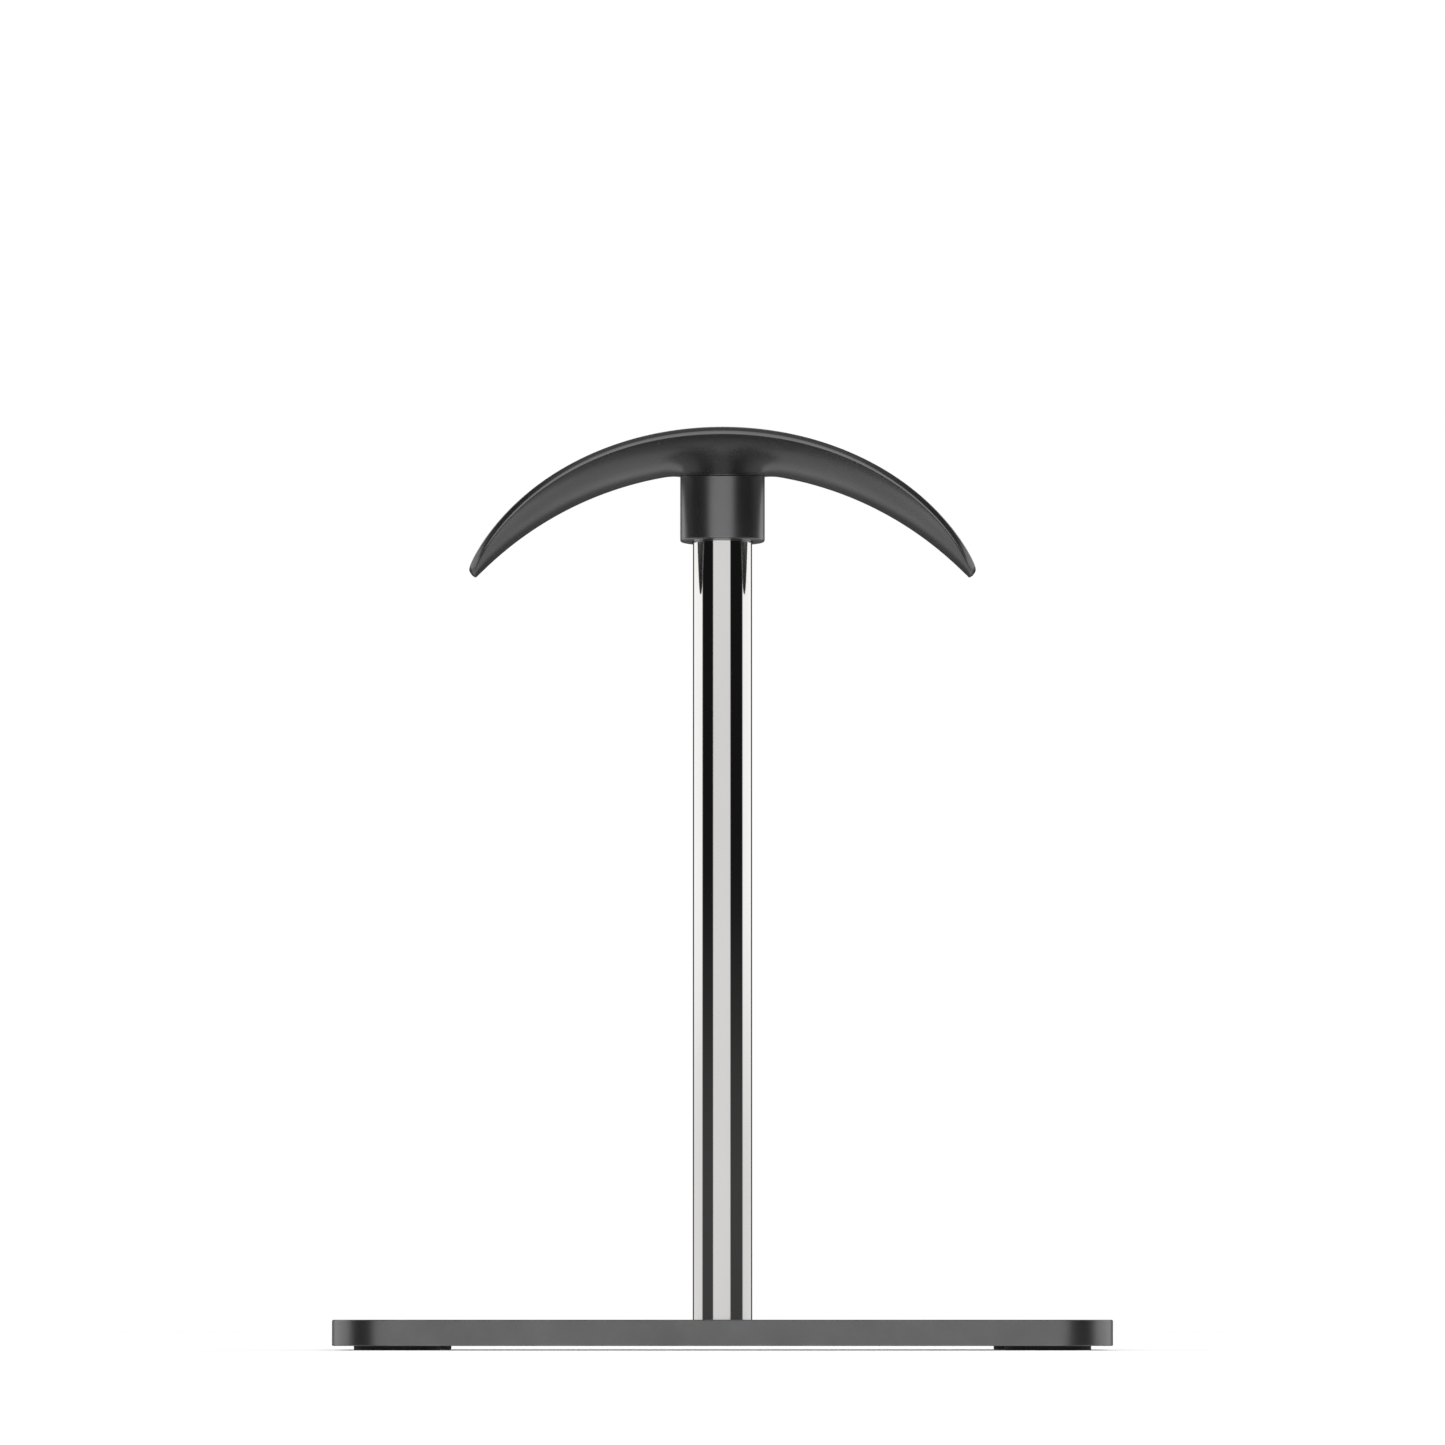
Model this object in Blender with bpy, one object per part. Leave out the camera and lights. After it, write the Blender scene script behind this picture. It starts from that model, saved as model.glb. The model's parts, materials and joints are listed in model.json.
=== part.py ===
"""Desk headphone stand: a rounded steel plate on rubber feet, a chromed tube, a short black
collar and an arched cradle with a soft pad.

Metres, +Z up.  The origin is on the desk, on the axis of the tube.  +X runs along the
length of the plate and of the cradle, and the plate's front edge faces -Y.
Screw threads are plain cylinders.  Pieces that touch keep a gap of GAP between them.
"""

import math

import bmesh
import bpy
from mathutils import Vector

GAP = 0.0003

# Base plate
PLATE_LENGTH = 0.180
PLATE_DEPTH = 0.110
PLATE_THICK = 0.006
PLATE_CORNER_R = 0.014
PLATE_EDGE = 0.0003
FOOT_PROUD = 0.001
PLATE_BOTTOM = FOOT_PROUD
PLATE_TOP = PLATE_BOTTOM + PLATE_THICK

# Rubber feet, each glued into a shallow recess
FOOT_R = 0.010
FOOT_INSET = 0.005
FOOT_X = PLATE_LENGTH / 2 - FOOT_INSET - FOOT_R
FOOT_Y = PLATE_DEPTH / 2 - FOOT_INSET - FOOT_R
FOOT_THICK = 0.0018
FOOT_EDGE = 0.0003
FOOT_FILM = 0.0003
FOOT_FILM_R = 0.009
FOOT_RECESS_TOP = FOOT_THICK + FOOT_FILM + 2 * GAP

# Tube and its two threaded plugs
TUBE_R = 0.007
TUBE_WALL = 0.0012
TUBE_BORE_R = TUBE_R - TUBE_WALL
TUBE_SEAT = 0.001
TUBE_BOTTOM = PLATE_TOP - TUBE_SEAT + GAP
PLUG_R = TUBE_BORE_R - GAP
PLUG_LENGTH = 0.020
PLUG_EDGE = 0.0004

# Collar
COLLAR_R = 0.010
COLLAR_BOTTOM = 0.1907
COLLAR_TOP = 0.2057
COLLAR_BORE_DEPTH = 0.0095
COLLAR_TOP_ROUND = 0.0003
COLLAR_TOP_RINGS = (0.8, 0.6, 0.45)
JOINT_RISE = 0.0008
COLLAR_BOTTOM_ROUND = 0.0005
TUBE_TOP = COLLAR_BOTTOM + COLLAR_BORE_DEPTH - GAP

# M6 screw from below the plate, and M6 stud at the top of the tube
M6_R = 0.003
M6_CLEAR_R = M6_R + GAP
SCREW_HEAD_R = 0.0057
SCREW_HEAD_BAND = 0.0002
SCREW_SUNK = 0.0002
BASE_SCREW_LENGTH = 0.020
BASE_SOCKET_AF = 0.004
BASE_SOCKET_DEPTH = 0.0018
THREAD_END = 0.0005
STUD_BOTTOM = TUBE_TOP - 0.015
STUD_TOP = COLLAR_TOP - 0.0005

# Cradle: an arched hull with a round neck underneath
CRADLE_HALF_LENGTH = 0.0600
CRADLE_HALF_DEPTH = 0.0240
OUTLINE_POWER = 3.0
ARCH_TOP = 0.21574
ARCH_HALF_SPAN = 0.0657
ARCH_RISE = 0.0537
RIM_HEIGHT = 0.0014
RIM_EDGE = 0.00025
RIM_LEAN = 0.0007
TIP_LEAN = 0.00035
KEEL_TOP = 0.2078
KEEL_R = 0.080
SECTION_POWER = 3.0
NOSE_START = 0.985
NECK_R = 0.0100
NECK_EDGE = 0.0001
NECK_REACH = 0.012
NECK_SIDE_REACH = 0.004
NECK_BOTTOM = COLLAR_TOP + GAP

# Soft pad, glued into a recess in the top of the cradle
PAD_HALF_LENGTH = 0.0545
PAD_HALF_DEPTH = 0.0196
PAD_LOW = -0.0009
PAD_HIGH = 0.0004
PAD_ROUND = 0.0005
PAD_FILM = 0.0003
PAD_FILM_INSET = 0.0008
PAD_FILM_LOW = PAD_LOW - GAP - PAD_FILM
RECESS_LOW = PAD_FILM_LOW - GAP

# Two M3 screws with washers, from the recess down into the collar
M3_R = 0.0015
M3_CLEAR_R = M3_R + GAP
M3_X = 0.0063
M3_BORE_R = 0.0033
M3_SEAT = COLLAR_TOP + 0.0044
M3_WASHER_R = 0.0030
M3_WASHER_THICK = 0.0006
M3_HEAD_R = 0.00275
M3_HEAD_HEIGHT = 0.0016
M3_HEAD_EDGE = 0.0003
M3_SOCKET_AF = 0.002
M3_SOCKET_DEPTH = 0.0009
M3_TIP = COLLAR_TOP - 0.0045
M3_HOLE_BOTTOM = COLLAR_TOP - 0.0050

FINE_TURN = 56
TURN = 32
SMALL_TURN = 24
CORNER_STEPS = 9
ROUND_STEPS = 3
CRADLE_SPOKES = 60
SHEET_RINGS = (0.2, 0.39, 0.56, 0.71, 0.84, 0.93)
NECK_RINGS = (0.35, 0.65, 0.85)
HULL_RINGS = (0.03, 0.07, 0.12, 0.18, 0.26, 0.36, 0.48, 0.6, 0.72, 0.82, 0.9, 0.955, 0.985)
OVERRUN = 0.002
SMOOTH_ANGLE = math.radians(30)


def clear_scene():
    for item in list(bpy.data.objects):
        bpy.data.objects.remove(item, do_unlink=True)


def make_material(name, colour, roughness, metallic):
    material = bpy.data.materials.new(name)
    material.use_nodes = True
    shader = material.node_tree.nodes["Principled BSDF"]
    shader.inputs["Base Color"].default_value = (*colour, 1.0)
    shader.inputs["Roughness"].default_value = roughness
    shader.inputs["Metallic"].default_value = metallic
    material.diffuse_color = (*colour, 1.0)
    return material


def add_object(name, mesh, material, location=(0.0, 0.0, 0.0)):
    """Put a mesh into the scene as one named sub-part under the stand's empty."""
    item = bpy.data.objects.new(name, mesh)
    item.location = location
    bpy.context.scene.collection.objects.link(item)
    if material is not None:
        item.data.materials.clear()
        item.data.materials.append(material)
        item.parent = bpy.data.objects["stand"]
    return item


def finish_mesh(name, bm):
    """Close a bmesh into a mesh with outward faces, round parts smooth, edges crisp."""
    bmesh.ops.remove_doubles(bm, verts=bm.verts[:], dist=1e-7)
    bmesh.ops.recalc_face_normals(bm, faces=bm.faces[:])
    mesh = bpy.data.meshes.new(name)
    bm.to_mesh(mesh)
    bm.free()
    mesh.shade_smooth()
    mesh.set_sharp_from_angle(angle=SMOOTH_ANGLE)
    return mesh


def turned_mesh(name, profile, steps):
    """Spin a closed outline of (radius, height) points once round the Z axis."""
    bm = bmesh.new()
    verts = [bm.verts.new((radius, 0.0, height)) for radius, height in profile]
    edges = [bm.edges.new((verts[i - 1], verts[i])) for i in range(len(verts))]
    on_axis = [e for e in edges if all(v.co.x == 0.0 for v in e.verts)]
    bmesh.ops.delete(bm, geom=on_axis, context="EDGES")
    bmesh.ops.spin(bm, geom=bm.verts[:] + bm.edges[:], cent=(0, 0, 0), axis=(0, 0, 1),
                   angle=math.tau, steps=steps, use_merge=True)
    return finish_mesh(name, bm)


def rod_profile(radius, low, high, low_edge, high_edge):
    """Outline of a solid rod with a chamfer at each end."""
    return [(0.0, low), (radius - low_edge, low), (radius, low + low_edge),
            (radius, high - high_edge), (radius - high_edge, high), (0.0, high)]


def ring_profile(inner, outer, low, high, edge):
    """Outline of a plain ring with its outer edges chamfered."""
    return [(inner, low), (outer - edge, low), (outer, low + edge),
            (outer, high - edge), (outer - edge, high), (inner, high)]


def quarter_arc(centre_r, centre_z, radius, start, steps):
    """Points of a quarter circle, turning anticlockwise from the start angle in degrees."""
    angles = [math.radians(start + 90.0 * i / steps) for i in range(steps + 1)]
    return [(centre_r + radius * math.cos(a), centre_z + radius * math.sin(a)) for a in angles]


def prism_mesh(name, outline, low, high, edge):
    """Extrude a flat outline upwards and bevel its two rims."""
    bm = bmesh.new()
    face = bm.faces.new([bm.verts.new((x, y, low)) for x, y in outline])
    lifted = bmesh.ops.extrude_face_region(bm, geom=[face])["geom"]
    top = [v for v in lifted if isinstance(v, bmesh.types.BMVert)]
    bmesh.ops.translate(bm, verts=top, vec=(0.0, 0.0, high - low))
    if edge > 0.0:
        rims = [e for e in bm.edges if abs(e.verts[0].co.z - e.verts[1].co.z) < 1e-9]
        bmesh.ops.bevel(bm, geom=rims, offset=edge, segments=2, profile=0.5, affect="EDGES")
    return finish_mesh(name, bm)


def rounded_rectangle(length, depth, radius, steps):
    outline = []
    for turn in range(4):
        side_x = 1 if turn in (0, 3) else -1
        side_y = 1 if turn in (0, 1) else -1
        centre_x = side_x * (length / 2 - radius)
        centre_y = side_y * (depth / 2 - radius)
        for i in range(steps + 1):
            angle = math.radians(90.0 * turn + 90.0 * i / steps)
            outline.append((centre_x + radius * math.cos(angle), centre_y + radius * math.sin(angle)))
    return outline


def hexagon(across_flats):
    radius = across_flats / math.sqrt(3.0)
    return [(radius * math.cos(math.radians(60 * i)), radius * math.sin(math.radians(60 * i)))
            for i in range(6)]


def cut(target, name, mesh, location=(0.0, 0.0, 0.0)):
    """Subtract a hidden cutter from a sub-part."""
    cutter = add_object(name, mesh, None, location)
    cutter.hide_render = True
    cutter.display_type = "WIRE"
    modifier = target.modifiers.new(name, "BOOLEAN")
    modifier.operation = "DIFFERENCE"
    modifier.solver = "EXACT"
    modifier.object = cutter


def foot_places():
    for side_y, row in ((-1, "front"), (1, "rear")):
        for side_x, side in ((-1, "left"), (1, "right")):
            yield f"{row}_{side}", side_x * FOOT_X, side_y * FOOT_Y


def build_base_plate(material):
    outline = rounded_rectangle(PLATE_LENGTH, PLATE_DEPTH, PLATE_CORNER_R, CORNER_STEPS)
    mesh = prism_mesh("base_plate", outline, PLATE_BOTTOM, PLATE_TOP, PLATE_EDGE)
    plate = add_object("base_plate", mesh, material)

    recess = turned_mesh("foot_recess", rod_profile(FOOT_R + GAP, 0.0, FOOT_RECESS_TOP, 0.0, 0.0), TURN)
    for place, x, y in foot_places():
        cut(plate, f"foot_recess_{place}", recess, (x, y, 0.0))

    # The countersink follows the screw's 45 degree head, and a seat above centres the tube.
    cone_gap = GAP * math.sqrt(2.0)
    head_low = PLATE_BOTTOM + SCREW_SUNK + SCREW_HEAD_BAND
    mouth_r = SCREW_HEAD_R + cone_gap
    cone_top = head_low + mouth_r - M6_CLEAR_R
    seat = PLATE_TOP - TUBE_SEAT
    profile = [(0.0, 0.0), (mouth_r, 0.0), (mouth_r, head_low), (M6_CLEAR_R, cone_top),
               (M6_CLEAR_R, seat), (TUBE_R + GAP, seat), (TUBE_R + GAP, PLATE_TOP + OVERRUN),
               (0.0, PLATE_TOP + OVERRUN)]
    cut(plate, "screw_hole", turned_mesh("screw_hole", profile, FINE_TURN))


def build_feet(rubber, glue):
    foot = turned_mesh("foot", rod_profile(FOOT_R, 0.0, FOOT_THICK, FOOT_EDGE, FOOT_EDGE), TURN)
    film_low = FOOT_THICK + GAP
    film_profile = rod_profile(FOOT_FILM_R, film_low, film_low + FOOT_FILM, 0.0, 0.0)
    film = turned_mesh("foot_adhesive", film_profile, SMALL_TURN)
    for place, x, y in foot_places():
        add_object(f"foot_{place}", foot, rubber, (x, y, 0.0))
        add_object(f"foot_adhesive_{place}", film, glue, (x, y, 0.0))


def build_base_screw(material):
    low = PLATE_BOTTOM + SCREW_SUNK
    cone_low = low + SCREW_HEAD_BAND
    tip = low + BASE_SCREW_LENGTH
    profile = [(0.0, low), (SCREW_HEAD_R, low), (SCREW_HEAD_R, cone_low),
               (M6_R, cone_low + SCREW_HEAD_R - M6_R), (M6_R, tip - THREAD_END),
               (M6_R - THREAD_END, tip), (0.0, tip)]
    screw = add_object("base_screw", turned_mesh("base_screw", profile, SMALL_TURN), material)
    socket = prism_mesh("base_socket", hexagon(BASE_SOCKET_AF), 0.0, low + BASE_SOCKET_DEPTH, 0.0)
    cut(screw, "base_socket", socket)


def build_tube(chrome, steel):
    wall = ring_profile(TUBE_BORE_R, TUBE_R, TUBE_BOTTOM, TUBE_TOP, 0.0)
    add_object("pole_tube", turned_mesh("pole_tube", wall, FINE_TURN), chrome)
    for name, low in (("pole_bottom_plug", TUBE_BOTTOM), ("pole_top_plug", TUBE_TOP - PLUG_LENGTH)):
        plug = ring_profile(M6_CLEAR_R, PLUG_R, low, low + PLUG_LENGTH, PLUG_EDGE)
        add_object(name, turned_mesh(name, plug, TURN), steel)
    stud = rod_profile(M6_R, STUD_BOTTOM, STUD_TOP, THREAD_END, THREAD_END)
    add_object("pole_stud", turned_mesh("pole_stud", stud, SMALL_TURN), steel)


def joint_rise(x):
    """Saddle of the joint between collar and cradle, higher towards its two sides."""
    return JOINT_RISE * (x / COLLAR_R) ** 2


def build_collar(material):
    bore_r = TUBE_R + GAP
    bore_top = COLLAR_BOTTOM + COLLAR_BORE_DEPTH
    low_round = quarter_arc(COLLAR_R - COLLAR_BOTTOM_ROUND, COLLAR_BOTTOM + COLLAR_BOTTOM_ROUND,
                            COLLAR_BOTTOM_ROUND, -90.0, ROUND_STEPS)
    high_round = quarter_arc(COLLAR_R - COLLAR_TOP_ROUND, COLLAR_TOP - COLLAR_TOP_ROUND,
                             COLLAR_TOP_ROUND, 0.0, ROUND_STEPS)
    top_face = [(COLLAR_R * share, COLLAR_TOP) for share in COLLAR_TOP_RINGS]
    profile = [(bore_r, COLLAR_BOTTOM), *low_round, *high_round, *top_face, (M6_CLEAR_R, COLLAR_TOP),
               (M6_CLEAR_R, bore_top), (bore_r, bore_top)]
    mesh = turned_mesh("collar", profile, FINE_TURN)
    for vert in mesh.vertices:
        if vert.co.z > bore_top + GAP:
            vert.co.z += joint_rise(vert.co.x)
    collar = add_object("collar", mesh, material)
    hole = rod_profile(M3_CLEAR_R, M3_HOLE_BOTTOM, COLLAR_TOP + OVERRUN, 0.0, 0.0)
    hole_mesh = turned_mesh("collar_hole", hole, SMALL_TURN)
    for side, x in (("left", -M3_X), ("right", M3_X)):
        cut(collar, f"collar_hole_{side}", hole_mesh, (x, 0.0, 0.0))


def arch_height(x):
    return ARCH_TOP - ARCH_RISE * (1.0 - math.sqrt(1.0 - (x / ARCH_HALF_SPAN) ** 2))


def arch_normal(x):
    """Outward direction of the arch in the XZ plane, as (x, z)."""
    ratio = x / ARCH_HALF_SPAN
    slope = ARCH_RISE / ARCH_HALF_SPAN * ratio / math.sqrt(1.0 - ratio * ratio)
    size = math.hypot(slope, 1.0)
    return slope / size, 1.0 / size


def arch_point(x, y, lift):
    """Point over (x, y) on the arch, moved by lift along the arch's outward direction."""
    out_x, out_z = arch_normal(x)
    return Vector((x + lift * out_x, y, arch_height(x) + lift * out_z))


def rim_ring(angles, drop):
    """Ring round the cradle's rim, drop below the arch, leaning outwards towards the bottom."""
    share = drop / RIM_HEIGHT
    half_length = CRADLE_HALF_LENGTH + TIP_LEAN * share
    half_depth = CRADLE_HALF_DEPTH - RIM_LEAN * (1.0 - share)
    return arch_ring(angles, half_length, half_depth, 1.0, -drop)


def rim_foot_height(x):
    """Height of the rim's lower edge where it crosses x."""
    source = x
    for _ in range(12):
        source = x + RIM_HEIGHT * arch_normal(source)[0]
    return arch_point(source, 0.0, -RIM_HEIGHT).z


def keel_height(x):
    return KEEL_TOP - KEEL_R + math.sqrt(KEEL_R * KEEL_R - x * x)


def half_depth_at(x, half_length):
    ratio = min(abs(x) / half_length, 1.0)
    return CRADLE_HALF_DEPTH * (1.0 - ratio ** OUTLINE_POWER) ** (1.0 / OUTLINE_POWER)


def hull_height(x, y, level, half_length):
    """Underside of the cradle: flat along the keel, curving up to the rim all round."""
    across = abs(y) / max(half_depth_at(x, half_length), 1e-6)
    side = min(across, 1.0) ** SECTION_POWER
    nose = max(level - NOSE_START, 0.0) / (1.0 - NOSE_START)
    keel = keel_height(x)
    return keel + (rim_foot_height(x) - keel) * max(side, nose * nose)


def spoke_angles(half_length, half_depth, count):
    """Angles round the cradle, closer together towards its two ends."""
    angles = []
    for i in range(count):
        turn = math.tau * i / count
        angles.append(math.atan2(half_depth * math.sin(turn), half_length * math.cos(turn)))
    return angles


def outline_reach(angle, half_length, half_depth):
    """Distance from the centre to a superellipse, in the direction of the angle."""
    along = abs(math.cos(angle) / half_length) ** OUTLINE_POWER
    over = abs(math.sin(angle) / half_depth) ** OUTLINE_POWER
    return (along + over) ** (-1.0 / OUTLINE_POWER)


def arch_ring(angles, half_length, half_depth, scale, lift):
    """Ring of points on the arch, inside or on a superellipse outline."""
    ring = []
    for angle in angles:
        reach = scale * outline_reach(angle, half_length, half_depth)
        ring.append(arch_point(reach * math.cos(angle), reach * math.sin(angle), lift))
    return ring


def loft(bm, rings, first_point, last_point):
    """Skin a stack of rings with faces, closing both ends with a fan to a point."""
    made = [[bm.verts.new(point) for point in ring] for ring in rings]
    count = len(made[0])
    for low, high in zip(made, made[1:]):
        for i in range(count):
            j = (i + 1) % count
            bm.faces.new((low[i], low[j], high[j], high[i]))
    for ring, point in ((made[0], first_point), (made[-1], last_point)):
        tip = bm.verts.new(point)
        for i in range(count):
            bm.faces.new((ring[i], ring[(i + 1) % count], tip))


def underside_height(x, y, level, half_length):
    """Underside of the cradle: the hull, drawn down to the neck's edge round the collar."""
    radius = math.hypot(x, y)
    edge_x, edge_y = NECK_R * x / radius, NECK_R * y / radius
    drop = hull_height(edge_x, edge_y, 0.0, half_length) - NECK_BOTTOM - NECK_EDGE - joint_rise(edge_x)
    reach = (NECK_REACH * edge_y ** 2 + NECK_SIDE_REACH * edge_x ** 2) / NECK_R ** 2
    fade = max(1.0 - (radius - NECK_R) / reach, 0.0)
    return hull_height(x, y, level, half_length) - drop * fade * fade


def neck_ring(angles, radius, lift):
    ring = []
    for a in angles:
        x, y = radius * math.cos(a), radius * math.sin(a)
        ring.append(Vector((x, y, NECK_BOTTOM + lift + joint_rise(x))))
    return ring


def build_cradle(material):
    angles = spoke_angles(CRADLE_HALF_LENGTH, CRADLE_HALF_DEPTH, CRADLE_SPOKES)
    rim_foot = rim_ring(angles, RIM_HEIGHT)
    foot_length = max(point.x for point in rim_foot)
    rings = [neck_ring(angles, NECK_R * share, 0.0) for share in NECK_RINGS]
    rings.append(neck_ring(angles, NECK_R - NECK_EDGE, 0.0))
    rings.append(neck_ring(angles, NECK_R, NECK_EDGE))
    for part in HULL_RINGS:
        ring = []
        for foot in rim_foot:
            full = math.hypot(foot.x, foot.y)
            reach = NECK_R + part * (full - NECK_R)
            x, y = reach * foot.x / full, reach * foot.y / full
            ring.append(Vector((x, y, underside_height(x, y, reach / full, foot_length))))
        rings.append(ring)
    rings.append(rim_ring(angles, RIM_HEIGHT - RIM_EDGE))
    rings.append(rim_ring(angles, RIM_EDGE))
    top_sizes = (CRADLE_HALF_LENGTH - RIM_EDGE, CRADLE_HALF_DEPTH - RIM_LEAN - RIM_EDGE)
    rings.append(arch_ring(angles, *top_sizes, 1.0, 0.0))
    recess = (PAD_HALF_LENGTH + GAP, PAD_HALF_DEPTH + GAP)
    rings.append(arch_ring(angles, *recess, 1.0, 0.0))
    rings.append(arch_ring(angles, *recess, 1.0, RECESS_LOW))
    for scale in reversed(SHEET_RINGS):
        rings.append(arch_ring(angles, *recess, scale, RECESS_LOW))
    bm = bmesh.new()
    loft(bm, rings, (0.0, 0.0, NECK_BOTTOM), arch_point(0.0, 0.0, RECESS_LOW))
    cradle = add_object("cradle_body", finish_mesh("cradle_body", bm), material)

    bore = [(0.0, NECK_BOTTOM - OVERRUN), (M3_CLEAR_R, NECK_BOTTOM - OVERRUN), (M3_CLEAR_R, M3_SEAT),
            (M3_BORE_R, M3_SEAT), (M3_BORE_R, ARCH_TOP + OVERRUN), (0.0, ARCH_TOP + OVERRUN)]
    bore_mesh = turned_mesh("cradle_bore", bore, SMALL_TURN)
    for side, x in (("left", -M3_X), ("right", M3_X)):
        cut(cradle, f"cradle_bore_{side}", bore_mesh, (x, 0.0, 0.0))


def build_cradle_screws(material):
    washer_low = M3_SEAT + GAP
    head_low = washer_low + M3_WASHER_THICK + GAP
    head_top = head_low + M3_HEAD_HEIGHT
    screw = [(0.0, M3_TIP), (M3_R - M3_HEAD_EDGE, M3_TIP), (M3_R, M3_TIP + M3_HEAD_EDGE),
             (M3_R, head_low), (M3_HEAD_R, head_low), (M3_HEAD_R, head_top - M3_HEAD_EDGE),
             (M3_HEAD_R - M3_HEAD_EDGE, head_top), (0.0, head_top)]
    screw_mesh = turned_mesh("cradle_screw", screw, SMALL_TURN)
    socket = prism_mesh("cradle_socket", hexagon(M3_SOCKET_AF), head_top - M3_SOCKET_DEPTH,
                        head_top + OVERRUN, 0.0)
    washer = ring_profile(M3_CLEAR_R, M3_WASHER_R, washer_low, washer_low + M3_WASHER_THICK, 0.0)
    washer_mesh = turned_mesh("cradle_washer", washer, SMALL_TURN)
    for side, x in (("left", -M3_X), ("right", M3_X)):
        item = add_object(f"cradle_screw_{side}", screw_mesh, material, (x, 0.0, 0.0))
        cut(item, f"cradle_socket_{side}", socket, (x, 0.0, 0.0))
        add_object(f"cradle_washer_{side}", washer_mesh, material, (x, 0.0, 0.0))


def arched_sheet(name, half_length, half_depth, low, high, edge):
    """Oval sheet bent over the arch, with its upper edge rounded."""
    angles = spoke_angles(half_length, half_depth, CRADLE_SPOKES)
    sizes = (half_length, half_depth)
    rings = [arch_ring(angles, *sizes, scale, low) for scale in SHEET_RINGS]
    rings.append(arch_ring(angles, *sizes, 1.0, low))
    if edge > 0.0:
        for i in range(ROUND_STEPS + 1):
            turn = math.radians(90.0 * i / ROUND_STEPS)
            pull = edge * (1.0 - math.cos(turn))
            sizes = (half_length - pull, half_depth - pull)
            rings.append(arch_ring(angles, *sizes, 1.0, high - edge + edge * math.sin(turn)))
    else:
        rings.append(arch_ring(angles, *sizes, 1.0, high))
    rings.extend(arch_ring(angles, *sizes, scale, high) for scale in reversed(SHEET_RINGS))
    bm = bmesh.new()
    loft(bm, rings, arch_point(0.0, 0.0, low), arch_point(0.0, 0.0, high))
    return finish_mesh(name, bm)


def build_pad(silicone, glue):
    pad = arched_sheet("cradle_pad", PAD_HALF_LENGTH, PAD_HALF_DEPTH, PAD_LOW, PAD_HIGH, PAD_ROUND)
    add_object("cradle_pad", pad, silicone)
    film = arched_sheet("pad_adhesive", PAD_HALF_LENGTH - PAD_FILM_INSET, PAD_HALF_DEPTH - PAD_FILM_INSET,
                        PAD_FILM_LOW, PAD_FILM_LOW + PAD_FILM, 0.0)
    add_object("pad_adhesive", film, glue)


def build_stand():
    clear_scene()
    stand = bpy.data.objects.new("stand", None)
    bpy.context.scene.collection.objects.link(stand)
    build_base_plate(make_material("plate_black", (0.030, 0.030, 0.031), 0.42, 0.6))
    rubber = make_material("foot_rubber", (0.020, 0.020, 0.022), 0.75, 0.0)
    glue = make_material("adhesive", (0.55, 0.53, 0.48), 0.6, 0.0)
    build_feet(rubber, glue)
    build_base_screw(make_material("screw_black", (0.05, 0.05, 0.052), 0.35, 0.9))
    chrome = make_material("pole_chrome", (0.83, 0.83, 0.82), 0.04, 1.0)
    build_tube(chrome, make_material("plain_steel", (0.55, 0.55, 0.54), 0.35, 1.0))
    build_collar(make_material("collar_black", (0.032, 0.032, 0.033), 0.34, 0.6))
    build_cradle(make_material("cradle_black", (0.034, 0.034, 0.035), 0.38, 0.5))
    build_cradle_screws(make_material("screw_steel", (0.50, 0.50, 0.49), 0.3, 1.0))
    build_pad(make_material("pad_silicone", (0.022, 0.022, 0.023), 0.7, 0.0), glue)


build_stand()
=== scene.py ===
"""Looks for the desk headphone stand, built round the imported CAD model.

Metres, +Z up, in the CAD's own frame.  The front edge of the base plate faces -Y.
The pieces that show are rebuilt here as finer meshes of the same size; the screws, plugs,
stud and films inside stay as the CAD's own meshes with better materials.
"""

import json
import math

import bmesh
import bpy
from mathutils import Matrix, Vector


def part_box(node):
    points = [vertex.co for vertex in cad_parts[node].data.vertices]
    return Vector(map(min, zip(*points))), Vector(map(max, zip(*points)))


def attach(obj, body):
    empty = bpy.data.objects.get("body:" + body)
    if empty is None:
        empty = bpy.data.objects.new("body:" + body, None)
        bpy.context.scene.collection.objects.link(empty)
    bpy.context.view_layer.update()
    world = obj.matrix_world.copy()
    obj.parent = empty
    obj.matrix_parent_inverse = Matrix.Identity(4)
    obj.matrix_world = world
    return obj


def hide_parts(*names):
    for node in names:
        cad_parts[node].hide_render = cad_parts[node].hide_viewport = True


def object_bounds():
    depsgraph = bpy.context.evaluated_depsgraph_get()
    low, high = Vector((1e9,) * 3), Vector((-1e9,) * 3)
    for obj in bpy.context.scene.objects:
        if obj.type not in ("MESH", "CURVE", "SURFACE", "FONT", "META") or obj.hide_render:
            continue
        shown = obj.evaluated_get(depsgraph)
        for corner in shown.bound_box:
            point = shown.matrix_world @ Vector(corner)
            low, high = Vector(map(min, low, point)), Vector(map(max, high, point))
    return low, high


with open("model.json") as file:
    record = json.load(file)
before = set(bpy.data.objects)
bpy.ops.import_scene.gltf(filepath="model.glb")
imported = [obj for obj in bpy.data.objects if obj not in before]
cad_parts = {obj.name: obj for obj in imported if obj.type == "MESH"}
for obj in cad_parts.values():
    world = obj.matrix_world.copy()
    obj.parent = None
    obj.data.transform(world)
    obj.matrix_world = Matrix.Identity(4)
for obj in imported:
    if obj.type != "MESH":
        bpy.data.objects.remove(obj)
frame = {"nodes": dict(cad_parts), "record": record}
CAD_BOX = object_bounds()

FOOT_NAMES = tuple(f"foot_{row}_{side}" for row in ("front", "rear") for side in ("left", "right"))

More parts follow.
